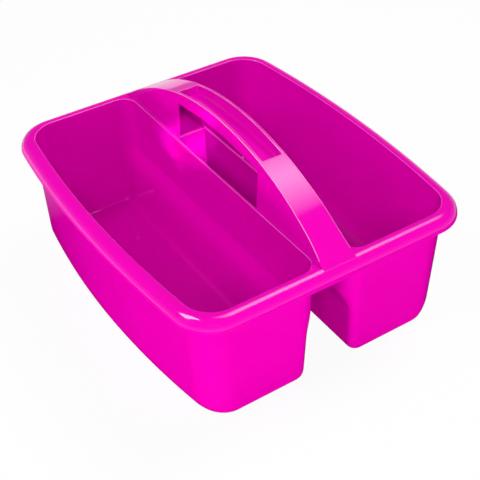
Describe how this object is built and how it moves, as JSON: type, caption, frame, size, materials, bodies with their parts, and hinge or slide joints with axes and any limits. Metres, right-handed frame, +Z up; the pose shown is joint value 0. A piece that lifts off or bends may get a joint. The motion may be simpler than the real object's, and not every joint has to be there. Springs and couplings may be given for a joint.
{
  "type": "art supply caddy",
  "caption": "Open carry caddy with deep bins side by side, a rolled rim round them and an arched handle with a hand window along the middle.",
  "frame": {"origin": "on the floor, under the middle of the caddy", "axes": "+X across the two bins, +Y along the handle, +Z up"},
  "size_m": [0.286, 0.324, 0.1715],
  "materials": {
    "pink_plastic": "glossy moulded plastic, bright pink"
  },
  "bodies": {
    "root": {"left_bin": "pink_plastic", "right_bin": "pink_plastic", "rim_frame": "pink_plastic", "front_cross_wall": "pink_plastic", "rear_cross_wall": "pink_plastic", "handle": "pink_plastic"}
  },
  "joints": []
}
